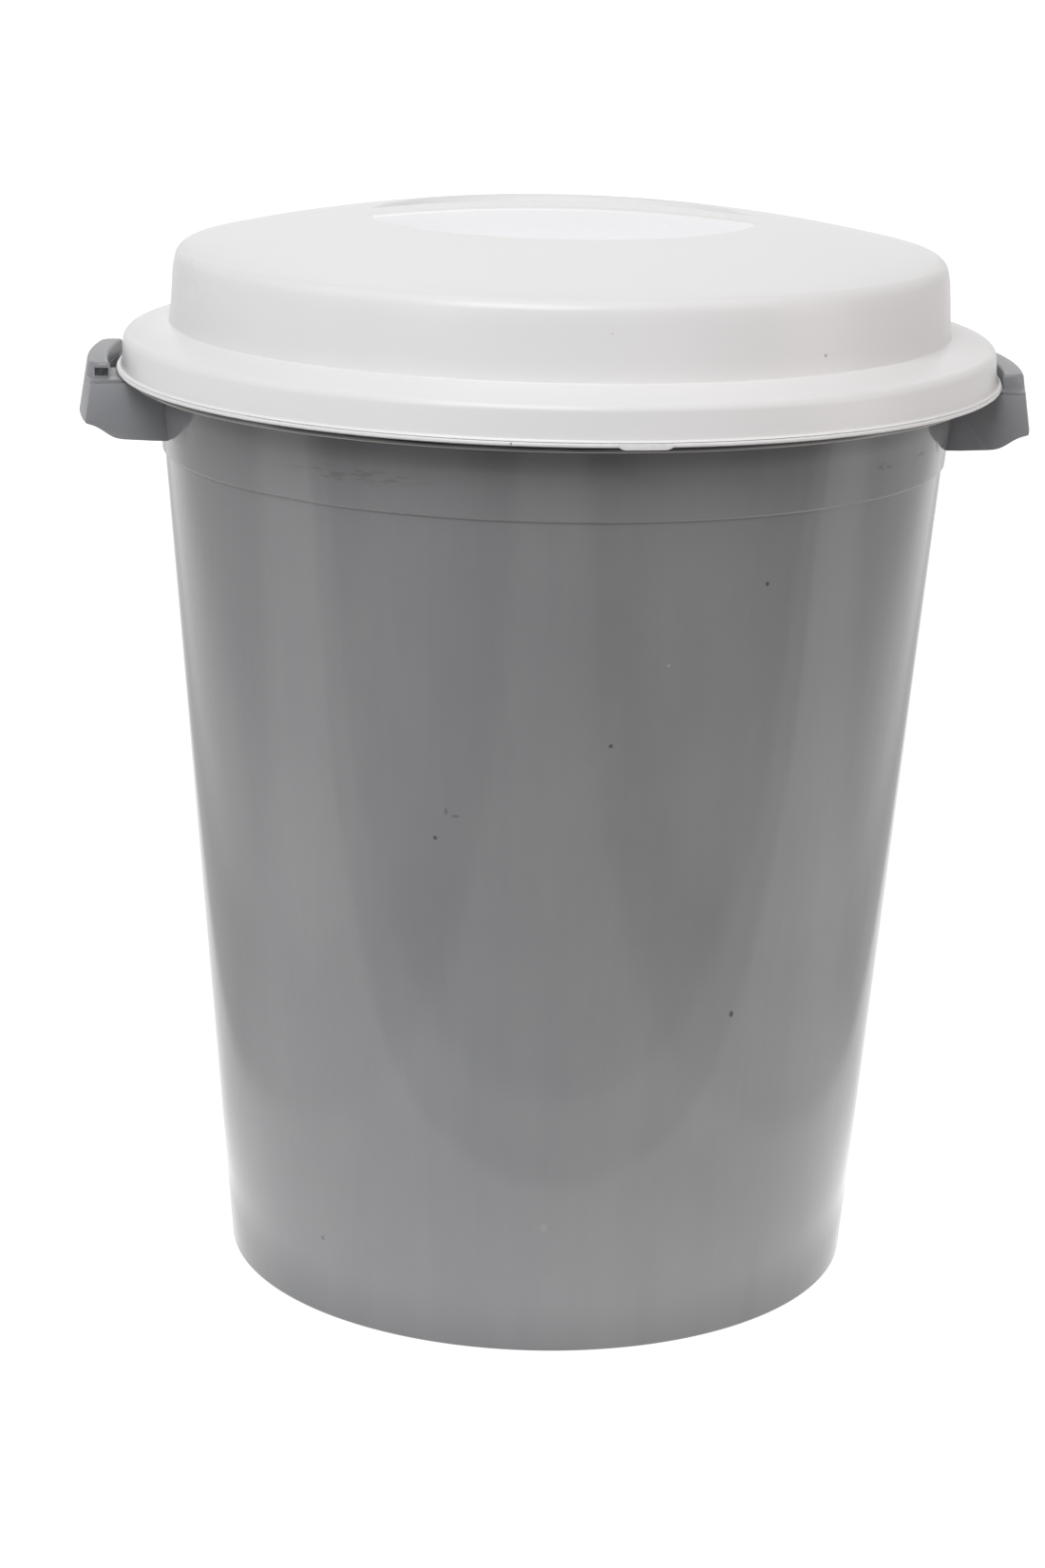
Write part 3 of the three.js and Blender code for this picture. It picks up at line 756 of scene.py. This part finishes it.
def mark_group():
    """A node group for one mark: 1 at its centre, falling to 0 at the ends of its half axes.

    With Broken at 1, only the parts where fine noise is high are left of it.
    """
    group = bpy.data.node_groups.new("mark", "ShaderNodeTree")
    face = group.interface
    for name, kind, value in (
        ("Centre", "NodeSocketVector", (0, 0, 0)),
        ("Half Axes", "NodeSocketVector", (0.001, 0.001, 0.001)),
        ("Broken", "NodeSocketFloat", 0.0),
    ):
        face.new_socket(name=name, in_out="INPUT", socket_type=kind).default_value = value
    face.new_socket(name="Mask", in_out="OUTPUT", socket_type="NodeSocketFloat")
    entry, leave = node(group, "NodeGroupInput"), node(group, "NodeGroupOutput")
    place = node(group, "ShaderNodeTexCoord")
    away = node(group, "ShaderNodeVectorMath", operation="SUBTRACT")
    share = node(group, "ShaderNodeVectorMath", operation="DIVIDE")
    length = node(group, "ShaderNodeVectorMath", operation="LENGTH")
    link(group, place.outputs["Object"], away.inputs[0])
    link(group, entry.outputs["Centre"], away.inputs[1])
    link(group, away.outputs[0], share.inputs[0])
    link(group, entry.outputs["Half Axes"], share.inputs[1])
    link(group, share.outputs[0], length.inputs[0])
    fall = node(group, "ShaderNodeMapRange", interpolation_type="SMOOTHSTEP")
    fall.inputs["From Min"].default_value = 1.0
    fall.inputs["From Max"].default_value = MARK_CORE
    link(group, length.outputs["Value"], fall.inputs["Value"])
    stretch = node(group, "ShaderNodeMapping")
    stretch.inputs["Scale"].default_value = FLAT
    noise = node(group, "ShaderNodeTexNoise", Scale=110.0, Detail=3.0, Roughness=0.6)
    link(group, place.outputs["Object"], stretch.inputs["Vector"])
    link(group, stretch.outputs["Vector"], noise.inputs["Vector"])
    gaps = node(group, "ShaderNodeMapRange")
    gaps.inputs["From Min"].default_value = BROKEN_FROM
    gaps.inputs["From Max"].default_value = BROKEN_TO
    link(group, noise.outputs["Fac"], gaps.inputs["Value"])
    chosen = node(group, "ShaderNodeMix", data_type="FLOAT")
    chosen.inputs["A"].default_value = 1.0
    link(group, entry.outputs["Broken"], chosen.inputs["Factor"])
    link(group, gaps.outputs["Result"], chosen.inputs["B"])
    mask = node(group, "ShaderNodeMath", operation="MULTIPLY")
    link(group, fall.outputs["Result"], mask.inputs[0])
    link(group, chosen.outputs["Result"], mask.inputs[1])
    link(group, mask.outputs[0], leave.inputs["Mask"])
    return group


SURFACE = moulded_surface()
MARK = mark_group()


def on_front(radius, angle, height):
    """A point in metres on a round surface, its angle counted to the right of the side that faces the camera."""
    t = math.radians(-90 + VIEW_TURN + angle)
    return (radius * MM * math.cos(t), radius * MM * math.sin(t), height * MM)


def marked(tree, colour, marks):
    """Lays marks over a colour, each as (centre, half axes in millimetres, colour, strength, broken)."""
    for centre, half, tint, strength, broken in marks:
        spot = node(tree, "ShaderNodeGroup", node_tree=MARK)
        spot.inputs["Centre"].default_value = centre
        spot.inputs["Half Axes"].default_value = [h * MM for h in half]
        spot.inputs["Broken"].default_value = broken
        weight = node(tree, "ShaderNodeMath", operation="MULTIPLY")
        weight.inputs[1].default_value = strength
        link(tree, spot.outputs["Mask"], weight.inputs[0])
        over = node(tree, "ShaderNodeMix", data_type="RGBA")
        over.inputs["B"].default_value = (*tint, 1)
        link(tree, weight.outputs[0], over.inputs["Factor"])
        link(tree, colour, over.inputs["A"])
        colour = over.outputs["Result"]
    return colour


def plastic(name, colour, pale, gloss, roughness, spread, wave_scale, wave_depth, grain, streak_share, marks):
    """A moulded plastic: two close tones mixed by mottling and upright streaks, marks over them, slow waves as bump.
    The upright streaks are partly random tone and partly painted reflection.

    gloss is the specular level, spread how far the roughness goes either way, wave_depth in millimetres, grain the
    fine noise's share of the bump, and streak_share the streaks' share of the mix.
    """
    material = bpy.data.materials.new(name)
    material.use_nodes = True
    tree = material.node_tree
    shader = tree.nodes["Principled BSDF"]
    shader.inputs["Specular IOR Level"].default_value = gloss
    surface = node(tree, "ShaderNodeGroup", node_tree=SURFACE)
    surface.inputs["Wave Scale"].default_value = wave_scale
    surface.inputs["Grain Scale"].default_value = GRAIN_SCALE
    surface.inputs["Grain Share"].default_value = grain
    blend = node(tree, "ShaderNodeMix", data_type="FLOAT")
    blend.inputs["Factor"].default_value = streak_share
    link(tree, surface.outputs["Mottle"], blend.inputs["A"])
    link(tree, surface.outputs["Streaks"], blend.inputs["B"])
    reach = node(tree, "ShaderNodeMapRange")
    reach.inputs["From Min"].default_value = TONE_FROM
    reach.inputs["From Max"].default_value = TONE_TO
    link(tree, blend.outputs["Result"], reach.inputs["Value"])
    tone = node(tree, "ShaderNodeMix", data_type="RGBA")
    tone.inputs["A"].default_value = (*colour, 1)
    tone.inputs["B"].default_value = (*pale, 1)
    link(tree, reach.outputs["Result"], tone.inputs["Factor"])
    link(tree, marked(tree, tone.outputs["Result"], marks), shader.inputs["Base Color"])
    rough = node(tree, "ShaderNodeMapRange")
    rough.inputs["To Min"].default_value = roughness - spread
    rough.inputs["To Max"].default_value = roughness + spread
    link(tree, surface.outputs["Mottle"], rough.inputs["Value"])
    link(tree, rough.outputs["Result"], shader.inputs["Roughness"])
    bump = node(tree, "ShaderNodeBump")
    bump.inputs["Strength"].default_value = 1.0
    bump.inputs["Distance"].default_value = wave_depth * MM
    link(tree, surface.outputs["Height"], bump.inputs["Height"])
    link(tree, bump.outputs["Normal"], shader.inputs["Normal"])
    return material


DARK, DIRT, RUB, BROWN = (0.03, 0.03, 0.035), (0.075, 0.06, 0.05), (0.30, 0.295, 0.29), (0.24, 0.225, 0.20)
LIP_LIGHT, LIP_DARK, GLINT = (0.33, 0.31, 0.29), (0.02, 0.017, 0.015), (0.98, 0.99, 1.0)
BODY_MARKS = [
    # Dust, nicks and two short scratches on the wall.
    (on_front(wall_radius(396), 31.5, 396.5), (1.3, 1.3, 1.3), DARK, 0.8, 0.0),
    (on_front(wall_radius(360), 17.0, 360.0), (1.1, 1.1, 1.1), RUB, 1.0, 0.0),
    (on_front(wall_radius(321), 9.2, 321.0), (1.3, 1.3, 1.3), DARK, 0.7, 0.0),
    (on_front(wall_radius(271), -16.3, 271.4), (1.4, 1.4, 1.4), DARK, 0.7, 0.0),
    (on_front(wall_radius(284), -14.6, 285.5), (1.0, 1.0, 2.4), DARK, 0.35, 0.0),
    (on_front(wall_radius(284), -13.2, 283.3), (3.4, 1.4, 0.9), DARK, 0.35, 0.0),
    (on_front(wall_radius(177), 31.8, 177.0), (1.6, 1.6, 2.2), DARK, 0.8, 0.0),
    (on_front(wall_radius(69), 1.4, 69.0), (2.6, 2.6, 3.0), RUB, 0.35, 0.0),
    (on_front(wall_radius(44), -40.0, 44.0), (1.6, 1.6, 1.6), DARK, 0.45, 0.0),
    # Scuffs on the band under the rim.
    (on_front(wall_radius(440), 75.0, 441.0), (10.0, 16.0, 5.0), DIRT, 0.6, 1.0),
    (on_front(wall_radius(446), 52.5, 446.0), (9.0, 9.0, 3.0), DIRT, 0.55, 1.0),
    (on_front(wall_radius(446), 62.5, 446.5), (7.0, 9.0, 2.5), DIRT, 0.55, 1.0),
    (on_front(wall_radius(447), -28.0, 446.0), (60.0, 30.0, 5.0), DIRT, 0.25, 1.0),
    # The faint upright streak on the left.
    (on_front(wall_radius(275), -33.0, 275.0), (4.0, 4.0, 75.0), BROWN, 0.30, 0.6),
]
# Bands that stand in for shading: under the rim, on the lip's lower edge, just above it, and towards the foot.
RIM_SHADE = [
    ((0, 0, 468.0 * MM), (ALL_ROUND, ALL_ROUND, 17.0), DARK, 0.30, 0.0),
    ((0, 0, 466.0 * MM), (ALL_ROUND, ALL_ROUND, 0.9), LIP_LIGHT, 0.8, 0.0),
    ((0, 0, 469.0 * MM), (ALL_ROUND, ALL_ROUND, 2.3), LIP_DARK, 0.9, 0.0),
]
FOOT_SHADE = [((0, 0, 0), (ALL_ROUND, ALL_ROUND, 170.0), DARK, 0.13, 0.0)]
LID_MARKS = [
    (on_front(198, -43.5, 512.0), (1.0, 1.0, 2.2), DIRT, 0.75, 0.0),
    (on_front(222, -31.0, 480.0), (0.9, 0.9, 1.8), DIRT, 0.65, 0.0),
    (on_front(198, 39.5, 503.0), (1.2, 1.2, 1.2), DIRT, 0.55, 0.0),
    (on_front(197, 7.5, 517.0), (0.8, 0.8, 0.8), DIRT, 0.35, 0.0),
    (on_front(224.5, -4.9, 471.0), (0.6, 0.6, 2.4), DIRT, 0.7, 0.0),
]
# Painted glints: two small bright reflections painted into the colour of the bar's front wall in the near pocket.
RECESS_PAINTED_GLINTS = [
    (on_front(56, 72.0, 545.0), (4.0, 3.0, 4.5), GLINT, 0.9, 1.0),
    (on_front(74, 76.5, 544.0), (8.0, 3.0, 3.5), GLINT, 0.9, 1.0),
]
# Its upright streaks are partly random tone and partly painted reflection of faint upright bands on the wall.
GREY = plastic(
    "grey_polypropylene",
    colour=(0.205, 0.207, 0.213),
    pale=(0.227, 0.228, 0.233),
    gloss=0.42,
    roughness=0.10,
    spread=0.02,
    wave_scale=9.0,
    wave_depth=0.38,
    grain=0.003,
    streak_share=0.5,
    marks=BODY_MARKS + RIM_SHADE + FOOT_SHADE,
)
HANDLE_GREY = plastic(
    "grey_polypropylene_handles",
    colour=(0.262, 0.265, 0.281),
    pale=(0.275, 0.278, 0.292),
    gloss=0.42,
    roughness=0.36,
    spread=0.04,
    wave_scale=9.0,
    wave_depth=0.3,
    grain=0.004,
    streak_share=0.3,
    marks=[],
)
WHITE = plastic(
    "white_polypropylene",
    colour=(0.785, 0.779, 0.781),
    pale=(0.795, 0.789, 0.791),
    gloss=0.28,
    roughness=0.28,
    spread=0.015,
    wave_scale=7.0,
    wave_depth=0.25,
    grain=0.0,
    streak_share=0.0,
    marks=LID_MARKS,
)
# Painted light: a brighter, bluer copy of the lid's white for the near pocket, where the bar's front wall is lit more
# than the dome.
LIT_RECESS_WHITE = plastic(
    "white_polypropylene_recess_painted_light",
    colour=(0.835, 0.835, 0.85),
    pale=(0.835, 0.835, 0.85),
    gloss=0.28,
    roughness=0.3,
    spread=0.015,
    wave_scale=7.0,
    wave_depth=0.0,
    grain=0.0,
    streak_share=0.0,
    marks=RECESS_PAINTED_GLINTS,
)

# ---- The pieces ----

wall = body_shell()
right = soft_edges(handle("right_handle", -SLOT_ANGLE, SLOT_ANGLE, window=False), HANDLE_SOFTNESS)
left = soft_edges(turn_half(handle("left_handle", -SLOT_ANGLE, SHORT_SLOT_ANGLE, window=True)), HANDLE_SOFTNESS)
pads = []
for pad_name, side, half_turn in (
    ("right_front_root", -1, False),
    ("right_back_root", 1, False),
    ("left_back_root", -1, True),
    ("left_front_root", 1, True),
):
    pad = root_pad(pad_name, side)
    if half_turn:
        turn_half(pad)
    pads.append(shaded(pad, ROOT_PAD_SHARP_FROM))
shell = lid()
pull = soft_edges(tab(), TAB_SOFTNESS)

for piece in [wall, right, left, *pads]:
    piece.data.materials.clear()
    piece.data.materials.append(HANDLE_GREY if piece in (right, left) else GREY)
    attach(piece, "root")
    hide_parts("bucket_body")
# The lid's faces already say which of the two whites they take, and clearing its materials would undo that.
for piece in [shell, pull]:
    piece.data.materials.append(WHITE)
    piece.data.materials.append(LIT_RECESS_WHITE)
    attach(piece, "root")
    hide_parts("lid")

# ---- Stage, light and camera ----

SHEET_SLANT = -0.089
SHEET_NARROWING = -0.15
SHEET_REACH = 20000.0
SHEET_BACK, SHEET_BEND, SHEET_TOP = 2600.0, 800.0, 3200.0
WORLD_LIGHT = 0.30
# The camera in the photograph's own frame, 1100 by 1650: angles in degrees and place in metres, both fitted to the
# ellipses of the lid, the band and the bottom edge, and the focal length for a frame 36 mm high.
CAMERA_PITCH, CAMERA_PAN, CAMERA_ROLL = 15.37706, -0.37846, 1.23991
CAMERA_AT = (0.0, -1.838796, 0.755728)
FOCAL_LENGTH, FRAME_HEIGHT = 83.153, 36.0


def stepped(tree, steps):
    """Adds up smooth steps of distances: each (distance, light, start, end) gives none at start and all at end."""
    total = None
    for distance, light, start, end in steps:
        step = node(tree, "ShaderNodeMapRange", interpolation_type="SMOOTHSTEP")
        step.inputs["From Min"].default_value = start
        step.inputs["From Max"].default_value = end
        step.inputs["To Max"].default_value = light
        link(tree, distance, step.inputs["Value"])
        if total is None:
            total = step.outputs["Result"]
            continue
        add = node(tree, "ShaderNodeMath", operation="ADD")
        link(tree, total, add.inputs[0])
        link(tree, step.outputs["Result"], add.inputs[1])
        total = add.outputs[0]
    return total


def floor_material():
    """A pale sheet lit from behind: its light is the larger of two sums of smooth steps of distances in metres.

    near is y less a share of x, so it is negative between the bucket and the camera. far is the distance from the
    bucket's axis. side is |x| less a share of y, because the sheet narrows towards the camera. The front edge of
    the sheet's brightest part is what the wall mirrors as a large oval.
    """
    material = bpy.data.materials.new("pale_sheet")
    material.use_nodes = True
    tree = material.node_tree
    shader = tree.nodes["Principled BSDF"]
    shader.inputs["Base Color"].default_value = (0.12, 0.12, 0.12, 1)
    shader.inputs["Roughness"].default_value = 0.85
    shader.inputs["Specular IOR Level"].default_value = 0.1
    place = node(tree, "ShaderNodeTexCoord")
    split = node(tree, "ShaderNodeSeparateXYZ")
    link(tree, place.outputs["Object"], split.inputs["Vector"])
    slant = node(tree, "ShaderNodeMath", operation="MULTIPLY_ADD")
    slant.inputs[1].default_value = SHEET_SLANT
    link(tree, split.outputs["X"], slant.inputs[0])
    link(tree, split.outputs["Y"], slant.inputs[2])
    centre = node(tree, "ShaderNodeVectorMath", operation="LENGTH")
    link(tree, place.outputs["Object"], centre.inputs[0])
    wide = node(tree, "ShaderNodeMath", operation="ABSOLUTE")
    link(tree, split.outputs["X"], wide.inputs[0])
    aside = node(tree, "ShaderNodeMath", operation="MULTIPLY_ADD")
    aside.inputs[1].default_value = SHEET_NARROWING
    link(tree, split.outputs["Y"], aside.inputs[0])
    link(tree, wide.outputs[0], aside.inputs[2])
    near, far, side = slant.outputs[0], centre.outputs["Value"], aside.outputs[0]
    sheet = stepped(
        tree,
        (
            (near, 0.55, -1.4, -1.2),  # the sheet starts well in front of the bucket
            (near, 0.42, -0.43, -0.40),  # brighter close to the bucket
            (near, 0.58, -0.315, -0.305),  # the front edge of its brightest part
            (near, -0.59, -0.08, 0.20),  # dimmer beside and behind the bucket
            (near, 0.06, 0.70, 1.50),
            (far, -0.56, 0.205, 0.170),  # the bucket's own shade under it
            (side, -0.40, 0.31, 0.37),  # a darker stripe along each side
            (side, 0.40, 0.48, 0.70),
            (side, -0.35, 0.85, 1.15),
        ),
    )
    middle = stepped(tree, ((near, 0.97, -0.43, -0.40), (near, 0.06, 0.70, 1.50), (side, -1.03, 0.31, 0.37)))
    brightest = node(tree, "ShaderNodeMath", operation="MAXIMUM")
    link(tree, sheet, brightest.inputs[0])
    link(tree, middle, brightest.inputs[1])
    shader.inputs["Emission Color"].default_value = (1, 1, 1, 1)
    link(tree, brightest.outputs[0], shader.inputs["Emission Strength"])
    return material


def sweep():
    """The sheet: flat under the bucket, then rising at the back along a quarter circle."""
    a = np.linspace(0, np.pi / 2, 13)
    y = np.concatenate([[-SHEET_REACH], SHEET_BACK + SHEET_BEND * np.sin(a), [SHEET_BACK + SHEET_BEND]])
    z = np.concatenate([[0], SHEET_BEND * (1 - np.cos(a)), [SHEET_TOP]])
    edge = np.stack([np.full(len(y), -SHEET_REACH), y, z], -1)
    points = np.stack([edge, edge * [-1, 1, 1]], 1).reshape(-1, 3)
    return new_piece("floor", points, quads(len(y), 2, False).tolist())


floor = sweep()
floor.rotation_euler = (0, 0, math.radians(VIEW_TURN))
floor.data.materials.append(floor_material())

turn = Matrix.Rotation(math.radians(VIEW_TURN), 4, "Z")


def area_light(name, at, target, size, power, colour=(1, 1, 1)):
    """A rectangular light at one point that faces another, both in metres in the camera's own turn."""
    light = bpy.data.lights.new(name, "AREA")
    light.shape = "RECTANGLE"
    light.size, light.size_y = size
    light.energy = power
    light.color = colour
    made = bpy.data.objects.new(name, light)
    at, target = (turn @ Matrix.Translation(at)).translation, (turn @ Matrix.Translation(target)).translation
    made.matrix_world = Matrix.Translation(at) @ (at - target).to_track_quat("Z", "Y").to_matrix().to_4x4()
    bpy.context.scene.collection.objects.link(made)


# The main light over the dome, a faint cool one from the left, and a warm one for the lid's right side.
area_light("overhead", (-0.45, -1.72, 2.30), (0, -0.1, 0.4), (1.6, 1.3), power=46)
area_light("front_left", (-1.5, -2.1, 1.3), (0, 0, 0.3), (0.9, 1.2), power=6, colour=(0.97, 0.98, 1.0))
area_light("right_fill", (2.6, -0.6, 1.0), (0, 0, 0.3), (1.2, 1.6), power=13, colour=(1.0, 0.88, 0.81))

scene = bpy.context.scene
world = bpy.data.worlds.new("studio")
scene.world = world
world.use_nodes = True
world.node_tree.nodes["Background"].inputs["Color"].default_value = (1, 1, 1, 1)
world.node_tree.nodes["Background"].inputs["Strength"].default_value = WORLD_LIGHT
scene.view_settings.view_transform = "Standard"
scene.view_settings.look = "None"

pitch, pan, roll = math.radians(CAMERA_PITCH), math.radians(CAMERA_PAN), math.radians(CAMERA_ROLL)
forward = np.array([math.sin(pan) * math.cos(pitch), math.cos(pan) * math.cos(pitch), -math.sin(pitch)])
level = np.array([math.cos(pan), -math.sin(pan), 0.0])
upward = np.cross(level, forward)
axis_x = math.cos(roll) * level + math.sin(roll) * upward
axis_y = -math.sin(roll) * level + math.cos(roll) * upward
pose = Matrix.Identity(4)
for column, axis in enumerate((axis_x, axis_y, -forward, np.array(CAMERA_AT))):
    for row in range(3):
        pose[row][column] = axis[row]
lens = bpy.data.cameras.new("camera")
lens.sensor_fit = "VERTICAL"
lens.sensor_height = FRAME_HEIGHT
lens.lens = FOCAL_LENGTH
lens.clip_end = 100.0
camera = bpy.data.objects.new("camera", lens)
camera.matrix_world = turn @ pose
scene.collection.objects.link(camera)
scene.camera = camera
